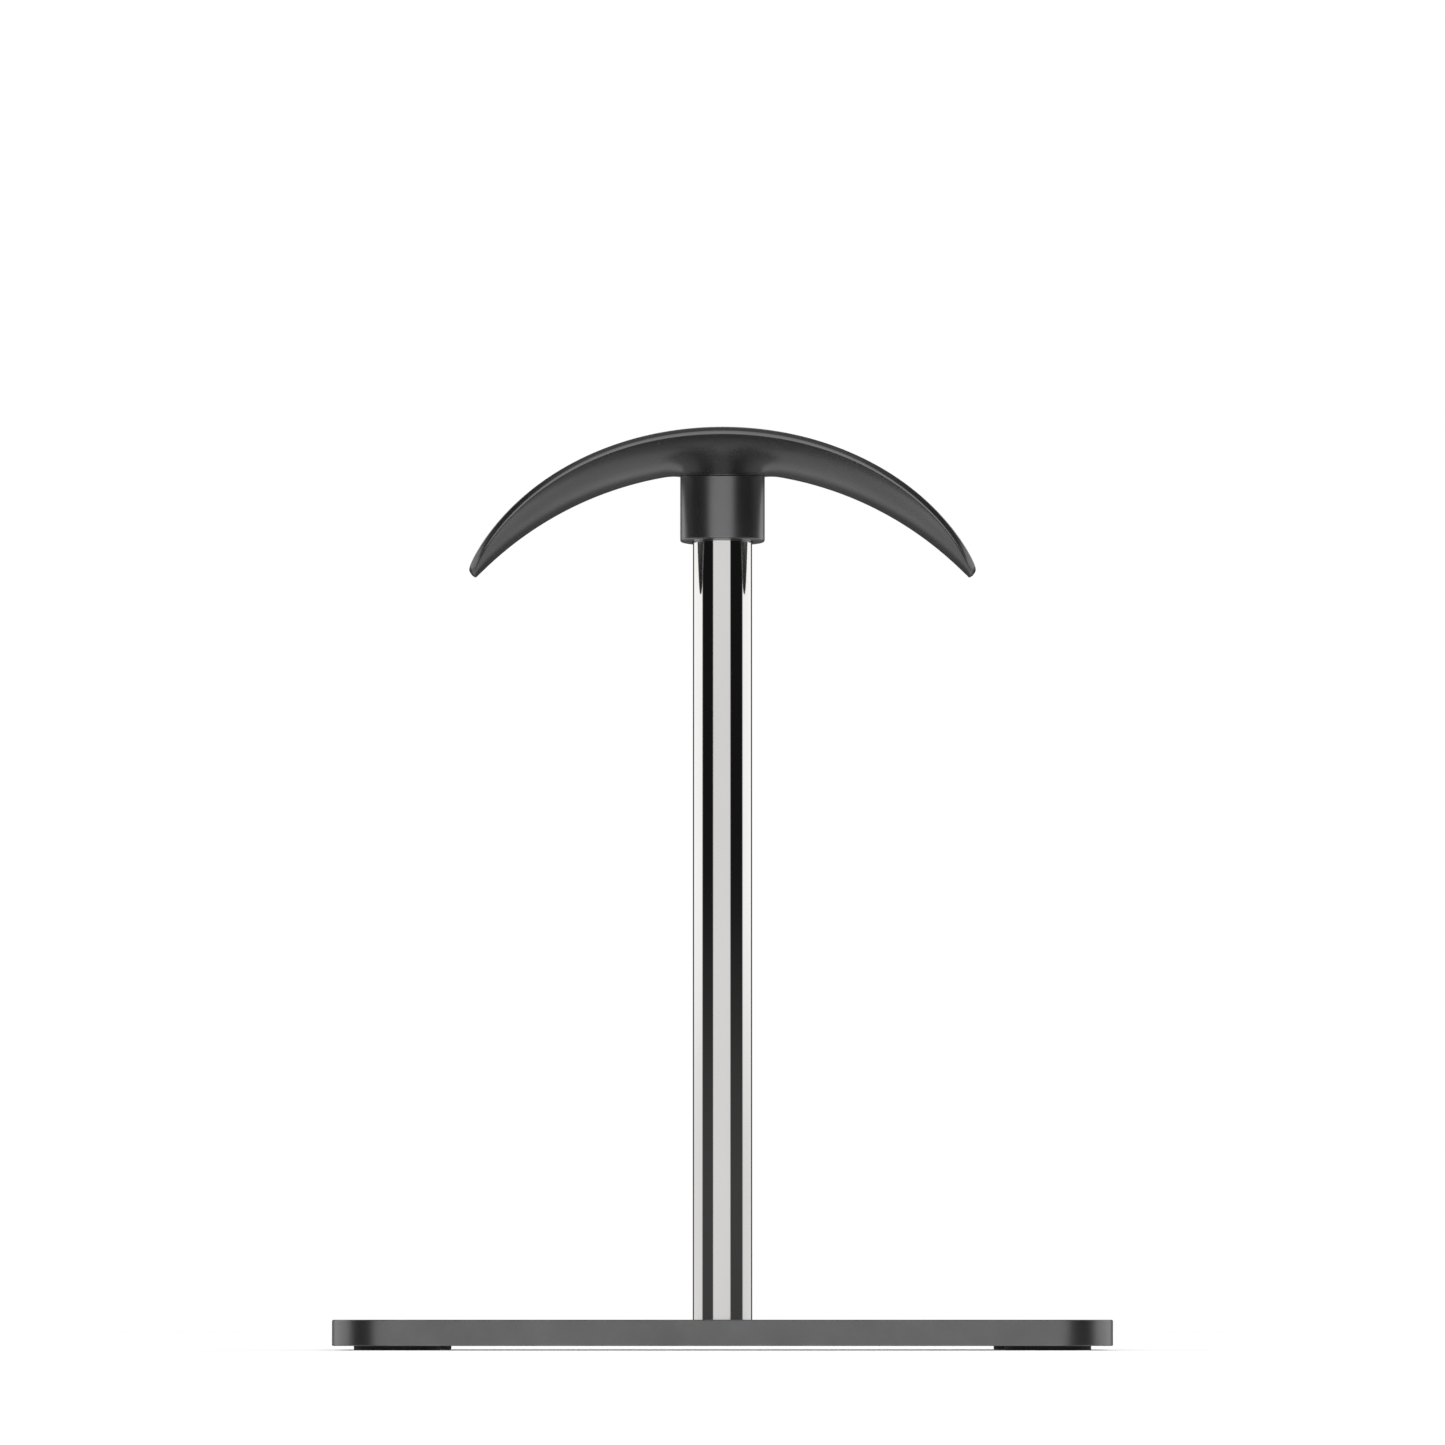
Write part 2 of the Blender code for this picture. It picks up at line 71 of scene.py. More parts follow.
# Sizes that the CAD boxes don't give directly, the same as in the CAD source
GAP = 0.0003
PLATE_CORNER_R = 0.014
PLATE_EDGE = 0.0003
FOOT_EDGE = 0.0003
SCREW_HEAD_BAND = 0.0002
M6_R = 0.003
M6_CLEAR_R = M6_R + GAP
TUBE_WALL = 0.0012
TUBE_SEAT = 0.001
COLLAR_BORE_DEPTH = 0.0095
COLLAR_TOP_ROUND = 0.0003
COLLAR_BOTTOM_ROUND = 0.0005
JOINT_RISE = 0.0008

CRADLE_HALF_LENGTH = 0.0600
CRADLE_HALF_DEPTH = 0.0240
OUTLINE_POWER = 3.0
ARCH_TOP = 0.21574
ARCH_HALF_SPAN = 0.0657
ARCH_RISE = 0.0537
RIM_HEIGHT = 0.0014
RIM_EDGE = 0.00025
RIM_LEAN = 0.0007
TIP_LEAN = 0.00035
KEEL_TOP = 0.2078
KEEL_R = 0.080
SECTION_POWER = 3.0
NOSE_START = 0.985
NECK_R = 0.0100
NECK_EDGE = 0.0001
NECK_REACH = 0.012
NECK_SIDE_REACH = 0.004

PAD_HALF_LENGTH = 0.0545
PAD_HALF_DEPTH = 0.0196
PAD_LOW = -0.0009
PAD_HIGH = 0.0004
PAD_ROUND = 0.0005
PAD_FILM = 0.0003
RECESS_LOW = PAD_LOW - PAD_FILM - 2 * GAP

M3_R = 0.0015
M3_CLEAR_R = M3_R + GAP
M3_X = 0.0063
M3_BORE_R = 0.0033
M3_SEAT_LIFT = 0.0044
M3_HOLE_DEPTH = 0.0050

# Finer than the CAD: the joint's visible gap and the soft round below the cradle's rim
JOINT_SHOWN = 0.00008
RIM_FOOT_ROUND = 0.0006

# Mesh fineness
ROUND_TURN = 192
FOOT_TURN = 128
POCKET_TURN = 96
HOLE_TURN = 48
CORNER_STEPS = 32
EDGE_STEPS = 5
FOOT_STEPS = 10
CRADLE_SPOKES = 240
HULL_RINGS = 44
NECK_RINGS = 8
NECK_EDGE_STEPS = 3
SHEET_RINGS = 24
COLLAR_TOP_RINGS = 8
SOLVE_STEPS = 12
OVERRUN = 0.002
LEVEL_EDGE = 1e-9
SMOOTH_ANGLE = math.radians(32)
WEAR_ANGLE = math.radians(25)


# Mesh code

def new_object(name, mesh, material=None):
    item = bpy.data.objects.new(name, mesh)
    bpy.context.scene.collection.objects.link(item)
    if material is not None:
        item.data.materials.append(material)
    return item


def finish_mesh(name, bm):
    bmesh.ops.remove_doubles(bm, verts=bm.verts[:], dist=1e-7)
    bmesh.ops.recalc_face_normals(bm, faces=bm.faces[:])
    mesh = bpy.data.meshes.new(name)
    bm.to_mesh(mesh)
    bm.free()
    return mesh


def turned_mesh(name, profile, steps=ROUND_TURN):
    """Spin a closed outline of (radius, height) points once round the Z axis."""
    bm = bmesh.new()
    verts = [bm.verts.new((radius, 0.0, height)) for radius, height in profile]
    edges = [bm.edges.new((verts[i - 1], verts[i])) for i in range(len(verts))]
    on_axis = [e for e in edges if all(v.co.x == 0.0 for v in e.verts)]
    bmesh.ops.delete(bm, geom=on_axis, context="EDGES")
    bmesh.ops.spin(bm, geom=bm.verts[:] + bm.edges[:], cent=(0, 0, 0), axis=(0, 0, 1),
                   angle=math.tau, steps=steps, use_merge=True)
    return finish_mesh(name, bm)


def quarter_arc(centre_r, centre_z, radius, start, steps=EDGE_STEPS):
    """Points of a quarter circle, turning anticlockwise from the start angle in degrees."""
    angles = [math.radians(start + 90.0 * i / steps) for i in range(steps + 1)]
    return [(centre_r + radius * math.cos(a), centre_z + radius * math.sin(a)) for a in angles]


def rounded_rod(radius, low, high, low_round, high_round):
    """Outline of a solid rod with a rounded edge at each end; a round of 0 leaves it square."""
    low_arc, high_arc = [(radius, low)], [(radius, high)]
    if low_round:
        low_arc = quarter_arc(radius - low_round, low + low_round, low_round, -90.0)
    if high_round:
        high_arc = quarter_arc(radius - high_round, high - high_round, high_round, 0.0)
    return [(0.0, low), *low_arc, *high_arc, (0.0, high)]


def rounded_rectangle(length, depth, radius, steps=CORNER_STEPS):
    outline = []
    for turn in range(4):
        side_x = 1 if turn in (0, 3) else -1
        side_y = 1 if turn in (0, 1) else -1
        for i in range(steps + 1):
            angle = math.radians(90.0 * turn + 90.0 * i / steps)
            outline.append((side_x * (length / 2 - radius) + radius * math.cos(angle),
                            side_y * (depth / 2 - radius) + radius * math.sin(angle)))
    return outline


def prism_mesh(name, outline, low, high, edge):
    """Extrude a flat outline upwards and round its two rims."""
    bm = bmesh.new()
    face = bm.faces.new([bm.verts.new((x, y, low)) for x, y in outline])
    lifted = bmesh.ops.extrude_face_region(bm, geom=[face])["geom"]
    top = [v for v in lifted if isinstance(v, bmesh.types.BMVert)]
    bmesh.ops.translate(bm, verts=top, vec=(0.0, 0.0, high - low))
    rims = [e for e in bm.edges if abs(e.verts[0].co.z - e.verts[1].co.z) < LEVEL_EDGE]
    bmesh.ops.bevel(bm, geom=rims, offset=edge, segments=EDGE_STEPS, profile=0.5, affect="EDGES")
    return finish_mesh(name, bm)


def carve(item, *cutters):
    """Cut the cutter meshes, each a (mesh, place) pair, out of a piece."""
    made = []
    for i, (mesh, place) in enumerate(cutters):
        cutter = new_object(f"{item.name}_cutter_{i}", mesh)
        cutter.location = place
        modifier = item.modifiers.new(cutter.name, "BOOLEAN")
        modifier.operation = "DIFFERENCE"
        modifier.solver = "EXACT"
        modifier.object = cutter
        made.append(cutter)
    settle(item)
    for cutter in made:
        bpy.data.objects.remove(cutter, do_unlink=True)


def settle(item):
    """Replace a piece's mesh by what its modifiers make of it."""
    bpy.context.view_layer.update()
    graph = bpy.context.evaluated_depsgraph_get()
    mesh = bpy.data.meshes.new_from_object(item.evaluated_get(graph), depsgraph=graph)
    mesh.name = item.name
    item.modifiers.clear()
    item.data = mesh


def smooth(item):
    """Smooth shading with crisp edges and flat faces that stay flat."""
    item.data.shade_smooth()
    item.data.set_sharp_from_angle(angle=SMOOTH_ANGLE)
    modifier = item.modifiers.new("flat_faces", "WEIGHTED_NORMAL")
    modifier.keep_sharp = True
    modifier.weight = 50
    settle(item)


def mark_edges(item):
    """Store how strongly the surface turns at each vertex, for wear on the edges."""
    bm = bmesh.new()
    bm.from_mesh(item.data)
    values = []
    for vert in bm.verts:
        turns = [e.calc_face_angle(0.0) for e in vert.link_edges]
        values.append(min(max(turns, default=0.0) / WEAR_ANGLE, 1.0))
    bm.free()
    layer = item.data.attributes.new("edge_turn", "FLOAT", "POINT")
    layer.data.foreach_set("value", values)


def dress(item, slot, *nodes):
    """Finish a piece: it stands for its CAD nodes and rides on the stand; the slot is not used."""
    smooth(item)
    mark_edges(item)
    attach(item, "root")
    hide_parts(*nodes)


# Cradle surface, the same formulas as the CAD

def arch_height(x):
    return ARCH_TOP - ARCH_RISE * (1.0 - math.sqrt(1.0 - (x / ARCH_HALF_SPAN) ** 2))


def arch_normal(x):
    """Outward direction of the arch in the XZ plane, as (x, z)."""
    ratio = x / ARCH_HALF_SPAN
    slope = ARCH_RISE / ARCH_HALF_SPAN * ratio / math.sqrt(1.0 - ratio * ratio)
    size = math.hypot(slope, 1.0)
    return slope / size, 1.0 / size


def arch_point(x, y, lift):
    out_x, out_z = arch_normal(x)
    return Vector((x + lift * out_x, y, arch_height(x) + lift * out_z))


def spoke_angles(half_length, half_depth):
    """Angles round the cradle, closer together towards its two ends."""
    turns = [math.tau * i / CRADLE_SPOKES for i in range(CRADLE_SPOKES)]
    return [math.atan2(half_depth * math.sin(t), half_length * math.cos(t)) for t in turns]


def outline_reach(angle, half_length, half_depth):
    along = abs(math.cos(angle) / half_length) ** OUTLINE_POWER
    over = abs(math.sin(angle) / half_depth) ** OUTLINE_POWER
    return (along + over) ** (-1.0 / OUTLINE_POWER)


def arch_ring(angles, half_length, half_depth, scale, lift):
    ring = []
    for angle in angles:
        reach = scale * outline_reach(angle, half_length, half_depth)
        ring.append(arch_point(reach * math.cos(angle), reach * math.sin(angle), lift))
    return ring


def rim_ring(angles, drop, inset=0.0):
    """Ring round the cradle's rim, drop below the arch, leaning outwards towards the bottom."""
    share = drop / RIM_HEIGHT
    half_length = CRADLE_HALF_LENGTH + TIP_LEAN * share - inset
    half_depth = CRADLE_HALF_DEPTH - RIM_LEAN * (1.0 - share) - inset
    return arch_ring(angles, half_length, half_depth, 1.0, -drop)


def rim_foot_height(x):
    """Height of the rim's lower edge above or below x, found by repeated steps."""
    source = x
    for _ in range(SOLVE_STEPS):
        source = x + RIM_HEIGHT * arch_normal(source)[0]
    return arch_point(source, 0.0, -RIM_HEIGHT).z


def keel_height(x):
    return KEEL_TOP - KEEL_R + math.sqrt(KEEL_R * KEEL_R - x * x)


def half_depth_at(x, half_length):
    ratio = min(abs(x) / half_length, 1.0)
    return CRADLE_HALF_DEPTH * (1.0 - ratio ** OUTLINE_POWER) ** (1.0 / OUTLINE_POWER)


def hull_height(x, y, level, half_length):
    """Underside of the cradle: flat along the keel, curving up to the rim all round."""
    across = abs(y) / max(half_depth_at(x, half_length), 1e-6)
    side = min(across, 1.0) ** SECTION_POWER
    nose = max(level - NOSE_START, 0.0) / (1.0 - NOSE_START)
    keel = keel_height(x)
    return keel + (rim_foot_height(x) - keel) * max(side, nose * nose)


def loft(name, rings, first_point, last_point):
    """Skin a stack of rings with faces, closing both ends with a fan to a point."""
    bm = bmesh.new()
    made = [[bm.verts.new(point) for point in ring] for ring in rings]
    count = len(made[0])
    for low, high in zip(made, made[1:]):
        for i in range(count):
            j = (i + 1) % count
            bm.faces.new((low[i], low[j], high[j], high[i]))
    for ring, point in ((made[0], first_point), (made[-1], last_point)):
        tip = bm.verts.new(point)
        for i in range(count):
            bm.faces.new((ring[i], ring[(i + 1) % count], tip))
    return finish_mesh(name, bm)


def joint_rise(x):
    """Saddle of the joint between collar and cradle, higher towards its two sides."""
    return JOINT_RISE * (x / NECK_R) ** 2


def underside_height(x, y, level, half_length, neck_edge):
    """Underside of the cradle: the hull, drawn down to the neck's edge round the collar."""
    radius = math.hypot(x, y)
    edge_x, edge_y = NECK_R * x / radius, NECK_R * y / radius
    drop = hull_height(edge_x, edge_y, 0.0, half_length) - neck_edge - joint_rise(edge_x)
    reach = (NECK_REACH * edge_y ** 2 + NECK_SIDE_REACH * edge_x ** 2) / NECK_R ** 2
    fade = max(1.0 - (radius - NECK_R) / reach, 0.0)
    return hull_height(x, y, level, half_length) - drop * fade * fade


def neck_ring(angles, radius, height):
    ring = []
    for a in angles:
        x, y = radius * math.cos(a), radius * math.sin(a)
        ring.append(Vector((x, y, height + joint_rise(x))))
    return ring


def hull_share(i):
    """Values from 0 to 1, closer together near both ends."""
    return 0.5 - 0.5 * math.cos(math.pi * i / HULL_RINGS)


def cradle_mesh(neck_bottom):
    angles = spoke_angles(CRADLE_HALF_LENGTH, CRADLE_HALF_DEPTH)
    rim_foot = rim_ring(angles, RIM_HEIGHT)
    foot_length = max(point.x for point in rim_foot)
    rings = [neck_ring(angles, NECK_R * i / NECK_RINGS, neck_bottom) for i in range(1, NECK_RINGS)]
    neck_edge = quarter_arc(NECK_R - NECK_EDGE, neck_bottom + NECK_EDGE, NECK_EDGE, -90.0, NECK_EDGE_STEPS)
    rings += [neck_ring(angles, radius, height) for radius, height in neck_edge]
    fulls = [math.hypot(foot.x, foot.y) for foot in rim_foot]

    def hull_ring(share, inset=0.0):
        ring = []
        for foot, full in zip(rim_foot, fulls):
            reach = NECK_R + share * (full - inset - NECK_R)
            x, y = reach * foot.x / full, reach * foot.y / full
            height = underside_height(x, y, reach / full, foot_length, neck_bottom + NECK_EDGE)
            ring.append(Vector((x, y, height)))
        return ring

    rings += [hull_ring(hull_share(i), RIM_FOOT_ROUND) for i in range(1, HULL_RINGS)]
    inner, outer = hull_ring(1.0, RIM_FOOT_ROUND), rim_ring(angles, RIM_HEIGHT - RIM_FOOT_ROUND)
    for i in range(FOOT_STEPS + 1):
        t = i / FOOT_STEPS
        rings.append([(1 - t) ** 2 * a + 2 * t * (1 - t) * b + t ** 2 * c
                      for a, b, c in zip(inner, rim_foot, outer)])
    for i in range(EDGE_STEPS + 1):
        turn = math.radians(90.0 * i / EDGE_STEPS)
        drop, inset = RIM_EDGE * (1.0 - math.sin(turn)), RIM_EDGE * (1.0 - math.cos(turn))
        rings.append(rim_ring(angles, drop, inset))
    recess = (PAD_HALF_LENGTH + GAP, PAD_HALF_DEPTH + GAP)
    for lift in (0.0, RECESS_LOW):
        rings.append(arch_ring(angles, *recess, 1.0, lift))
    rings += [arch_ring(angles, *recess, 1.0 - i / SHEET_RINGS, RECESS_LOW) for i in range(1, SHEET_RINGS)]
    return loft("cradle_shell", rings, (0.0, 0.0, neck_bottom), arch_point(0.0, 0.0, RECESS_LOW))


def pad_mesh():
    angles = spoke_angles(PAD_HALF_LENGTH, PAD_HALF_DEPTH)
    sizes = (PAD_HALF_LENGTH, PAD_HALF_DEPTH)
    rings = [arch_ring(angles, *sizes, i / SHEET_RINGS, PAD_LOW) for i in range(1, SHEET_RINGS + 1)]
    for i in range(EDGE_STEPS + 1):
        turn = math.radians(90.0 * i / EDGE_STEPS)
        pull = PAD_ROUND * (1.0 - math.cos(turn))
        sizes = (PAD_HALF_LENGTH - pull, PAD_HALF_DEPTH - pull)
        rings.append(arch_ring(angles, *sizes, 1.0, PAD_HIGH - PAD_ROUND * (1.0 - math.sin(turn))))
    rings += [arch_ring(angles, *sizes, 1.0 - i / SHEET_RINGS, PAD_HIGH) for i in range(1, SHEET_RINGS)]
    return loft("pad", rings, arch_point(0.0, 0.0, PAD_LOW), arch_point(0.0, 0.0, PAD_HIGH))


# Materials

class Tree:
    """A node tree with short calls for the nodes used here."""

    def __init__(self, tree):
        self.tree = tree

    def add(self, kind, **settings):
        node = self.tree.nodes.new(kind)
        for key, value in settings.items():
            setattr(node, key, value)
        return node

    def link(self, source, target):
        self.tree.links.new(source, target)

    def math(self, operation, first, second=0.0):
        node = self.add("ShaderNodeMath", operation=operation)
        for socket, value in zip(node.inputs, (first, second)):
            if isinstance(value, (int, float)):
                socket.default_value = value
            else:
                self.link(value, socket)
        return node.outputs["Value"]

    def blend(self, amount, first, second):
        """Go from the first value to the second as the amount goes from 0 to 1."""
        kept = self.math("MULTIPLY", self.math("SUBTRACT", 1.0, amount), first)
        return self.math("ADD", kept, self.math("MULTIPLY", amount, second))

    def ease(self, value, low, high):
        """A soft step from 0 to 1 while the value goes from low to high."""
        node = self.add("ShaderNodeMapRange", interpolation_type="SMOOTHSTEP")
        node.inputs["From Min"].default_value = low
        node.inputs["From Max"].default_value = high
        self.link(value, node.inputs["Value"])
        return node.outputs["Result"]


class Nodes(Tree):
    """A material's node tree."""

    def __init__(self, name, colour, roughness, metallic):
        self.material = bpy.data.materials.new(name)
        self.material.use_nodes = True
        super().__init__(self.material.node_tree)
        self.shader = self.tree.nodes["Principled BSDF"]
        self.shader.inputs["Metallic"].default_value = metallic
        self.shader.inputs["Base Color"].default_value = (*colour, 1.0)
        self.shader.inputs["Roughness"].default_value = roughness
        self.place = self.add("ShaderNodeTexCoord").outputs["Object"]

    def noise(self, scale, detail=3.0, roughness=0.5, stretch=None):
        """Noise with a scale in features per metre, stretched along axes if asked."""
        node = self.add("ShaderNodeTexNoise")
        node.inputs["Scale"].default_value = scale
        node.inputs["Detail"].default_value = detail
        node.inputs["Roughness"].default_value = roughness
        place = self.place
        if stretch is not None:
            mapping = self.add("ShaderNodeMapping")
            mapping.inputs["Scale"].default_value = stretch
            self.link(place, mapping.inputs["Vector"])
            place = mapping.outputs["Vector"]
        self.link(place, node.inputs["Vector"])
        return node.outputs["Fac"]

    def remap(self, value, low, high, to_low, to_high):
        node = self.add("ShaderNodeMapRange")
        for key, number in (("From Min", low), ("From Max", high), ("To Min", to_low), ("To Max", to_high)):
            node.inputs[key].default_value = number
        self.link(value, node.inputs["Value"])
        return node.outputs["Result"]

    def mix(self, amount, first, second):
        """Mix two colours by an amount from 0 to 1."""
        node = self.add("ShaderNodeMix", data_type="RGBA")
        self.link(amount, node.inputs["Factor"])
        names = {socket.identifier: socket for socket in node.inputs}
        for socket, colour in ((names["A_Color"], first), (names["B_Color"], second)):
            if isinstance(colour, tuple):
                socket.default_value = (*colour, 1.0)
            else:
                self.link(colour, socket)
        return next(socket for socket in node.outputs if socket.identifier == "Result_Color")

    def bump(self, height, distance, after=None):
        node = self.add("ShaderNodeBump")
        node.inputs["Distance"].default_value = distance
        node.inputs["Strength"].default_value = 1.0
        self.link(height, node.inputs["Height"])
        if after is not None:
            self.link(after, node.inputs["Normal"])
        return node.outputs["Normal"]

    def set(self, socket, value):
        self.link(value, self.shader.inputs[socket])


SATIN_METALLIC = 0.93


def satin_black(name, colour, roughness, worn):
    """Satin black finish over metal: fine texture, faint clouding, edges rubbed a little brighter."""
    n = Nodes(name, colour, roughness, SATIN_METALLIC)
    cloud = n.noise(28.0, 3.0, 0.55)
    grain = n.noise(2600.0, 2.0, 0.6)
    turn = n.add("ShaderNodeAttribute", attribute_name="edge_turn").outputs["Fac"]
    patches = n.remap(n.noise(160.0, 4.0, 0.6), 0.42, 0.72, 0.0, 0.8)
    rub = n.math("MULTIPLY", n.remap(turn, 0.25, 1.0, 0.0, 1.0), patches)
    light = tuple(c * 1.12 for c in colour)
    dark = tuple(c * 0.90 for c in colour)
    shade = n.mix(n.remap(cloud, 0.3, 0.7, 0.0, 1.0), dark, light)
    n.set("Base Color", n.mix(rub, shade, worn))
    rough = n.remap(n.noise(90.0, 4.0, 0.6), 0.3, 0.7, roughness - 0.025, roughness + 0.035)
    n.set("Roughness", n.math("ADD", rough, n.remap(grain, 0.3, 0.7, -0.012, 0.012)))
    peel = n.bump(n.noise(900.0, 2.0, 0.5), 0.0000012)
    n.set("Normal", n.bump(grain, 0.0000015, after=peel))
    return n.material


def chrome():
    """Bright plating: almost a mirror, with faint wiping marks and a trace of the tube's drawing lines."""
    colour = (0.665, 0.655, 0.648)
    n = Nodes("bright_chrome", colour, 0.045, 1.0)
    smear = n.noise(45.0, 4.0, 0.6, stretch=(1.0, 1.0, 0.35))
    lines = n.noise(2400.0, 2.0, 0.5, stretch=(1.0, 1.0, 0.004))
    n.set("Base Color", n.mix(n.remap(smear, 0.35, 0.75, 0.0, 1.0), colour, (0.625, 0.617, 0.61)))
    rough = n.remap(smear, 0.45, 0.75, 0.035, 0.075)
    n.set("Roughness", n.math("ADD", rough, n.remap(lines, 0.4, 0.7, 0.0, 0.015)))
    n.set("Normal", n.bump(lines, 0.0000001))
    return n.material


def rubber(name, colour, roughness, grain_scale, grain_height):
    """Matt rubber or silicone with a fine moulded skin and a little dust."""
    n = Nodes(name, colour, roughness, 0.0)
    cloud = n.noise(60.0, 4.0, 0.6)
    grain = n.noise(grain_scale, 3.0, 0.6)
    dust = n.remap(n.noise(380.0, 5.0, 0.7), 0.52, 0.80, 0.0, 0.35)
    lighter = tuple(c * 1.5 for c in colour)
    shade = n.mix(n.remap(cloud, 0.3, 0.7, 0.0, 1.0), colour, lighter)
    n.set("Base Color", n.mix(dust, shade, tuple(c * 2.4 + 0.004 for c in colour)))
    n.set("Roughness", n.remap(grain, 0.3, 0.7, roughness - 0.06, roughness + 0.06))
    n.set("Normal", n.bump(grain, grain_height))
    n.shader.inputs["Specular IOR Level"].default_value = 0.2
    return n.material


def turned_steel(name, colour, roughness):
    """Machined steel with fine turning marks and slight staining."""
    n = Nodes(name, colour, roughness, 1.0)
    marks = n.noise(5200.0, 2.0, 0.5, stretch=(0.25, 0.25, 1.0))
    stain = n.noise(220.0, 4.0, 0.6)
    n.set("Base Color", n.mix(n.remap(stain, 0.35, 0.75, 0.0, 1.0), colour, tuple(c * 0.72 for c in colour)))
    n.set("Roughness", n.remap(marks, 0.3, 0.7, roughness - 0.07, roughness + 0.09))
    n.set("Normal", n.bump(marks, 0.000004))
    return n.material


def film():
    """Cloudy double-sided adhesive film."""
    colour = (0.56, 0.53, 0.46)
    n = Nodes("cloudy_film", colour, 0.55, 0.0)
    cloud = n.noise(500.0, 4.0, 0.6)
    n.set("Base Color", n.mix(n.remap(cloud, 0.3, 0.7, 0.0, 1.0), colour, (0.68, 0.65, 0.58)))
    n.set("Roughness", n.remap(cloud, 0.3, 0.7, 0.45, 0.65))
    n.set("Normal", n.bump(cloud, 0.00001))
    return n.material


def floor_material():
    pale = (0.83, 0.83, 0.83)
    n = Nodes("pale_floor", pale, 0.7, 0.0)
    n.shader.inputs["Specular IOR Level"].default_value = 0.1
    cloud = n.remap(n.noise(3.0, 2.0, 0.5), 0.3, 0.7, 0.0, 1.0)
    n.set("Base Color", n.mix(cloud, pale, (0.835, 0.835, 0.835)))
    return n.material


# Pieces

def build_plate(material):
    low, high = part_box("base_plate")
    outline = rounded_rectangle(high.x - low.x, high.y - low.y, PLATE_CORNER_R)
    plate = new_object("base", prism_mesh("base", outline, low.z, high.z, PLATE_EDGE), material)

    foot_low, foot_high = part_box("foot_front_left")
    film_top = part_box("foot_adhesive_front_left")[1].z
    foot_r = (foot_high.x - foot_low.x) / 2
    pocket = rounded_rod(foot_r + GAP, -OVERRUN, film_top + GAP, 0.0, 0.0)
    pocket_mesh = turned_mesh("foot_pocket", pocket, POCKET_TURN)

    screw_low, screw_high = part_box("base_screw")
    mouth_r = (screw_high.x - screw_low.x) / 2 + GAP * math.sqrt(2.0)
    cone_low = screw_low.z + SCREW_HEAD_BAND
    tube_low, tube_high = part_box("pole_tube")
    tube_r = (tube_high.x - tube_low.x) / 2
    seat = high.z - TUBE_SEAT
    hole = [(0.0, -OVERRUN), (mouth_r, -OVERRUN), (mouth_r, cone_low),
            (M6_CLEAR_R, cone_low + mouth_r - M6_CLEAR_R), (M6_CLEAR_R, seat),
            (tube_r + GAP, seat), (tube_r + GAP, high.z + OVERRUN), (0.0, high.z + OVERRUN)]
    feet = []
    for name in FOOT_NAMES:
        low_corner, high_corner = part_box(name)
        centre = (low_corner + high_corner) / 2
        feet.append((pocket_mesh, (centre.x, centre.y, 0.0)))
    carve(plate, *feet, (turned_mesh("screw_hole", hole, POCKET_TURN), (0.0, 0.0, 0.0)))
    dress(plate, "plate_black", "base_plate")


def build_feet(material):
    for name in FOOT_NAMES:
        low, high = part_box(name)
        centre = (low + high) / 2
        radius = (high.x - low.x) / 2
        profile = rounded_rod(radius, low.z, high.z, FOOT_EDGE, FOOT_EDGE)
        foot = new_object(name.replace("foot", "pad_foot"), turned_mesh(name, profile, FOOT_TURN), material)
        foot.data.transform(Matrix.Translation((centre.x, centre.y, 0.0)))
        dress(foot, "foot_rubber", name)


def build_tube(material):
    low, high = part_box("pole_tube")
    radius = (high.x - low.x) / 2
    bore = radius - TUBE_WALL
    profile = [(bore, low.z), (radius, low.z), (radius, high.z), (bore, high.z)]
    tube = new_object("pole", turned_mesh("pole", profile), material)
    dress(tube, "pole_chrome", "pole_tube")


def collar_top():
    """Height of the collar's top end at its front, below the saddle's two high sides."""
    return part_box("collar")[1].z - JOINT_RISE


def build_collar(material):
    low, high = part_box("collar")
    radius = (high.x - low.x) / 2
    tube_low, tube_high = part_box("pole_tube")
    bore_r = (tube_high.x - tube_low.x) / 2 + GAP
    bore_top = low.z + COLLAR_BORE_DEPTH
    top = collar_top()
    face_width = radius - COLLAR_TOP_ROUND - M6_CLEAR_R
    top_face = [(M6_CLEAR_R + face_width * i / COLLAR_TOP_RINGS, top)
                for i in reversed(range(COLLAR_TOP_RINGS))]
    profile = [(bore_r, low.z),
               *quarter_arc(radius - COLLAR_BOTTOM_ROUND, low.z + COLLAR_BOTTOM_ROUND,
                            COLLAR_BOTTOM_ROUND, -90.0),
               *quarter_arc(radius - COLLAR_TOP_ROUND, top - COLLAR_TOP_ROUND, COLLAR_TOP_ROUND, 0.0),
               *top_face, (M6_CLEAR_R, bore_top), (bore_r, bore_top)]
    mesh = turned_mesh("collar_sleeve", profile)
    for vert in mesh.vertices:
        if vert.co.z > bore_top + GAP:
            vert.co.z += joint_rise(vert.co.x)
    collar = new_object("collar_sleeve", mesh, material)
    drill = rounded_rod(M3_CLEAR_R, top - M3_HOLE_DEPTH, high.z + OVERRUN, 0.0, 0.0)
    hole = turned_mesh("hole", drill, HOLE_TURN)
    carve(collar, (hole, (-M3_X, 0.0, 0.0)), (hole, (M3_X, 0.0, 0.0)))
    dress(collar, "collar_black", "collar")


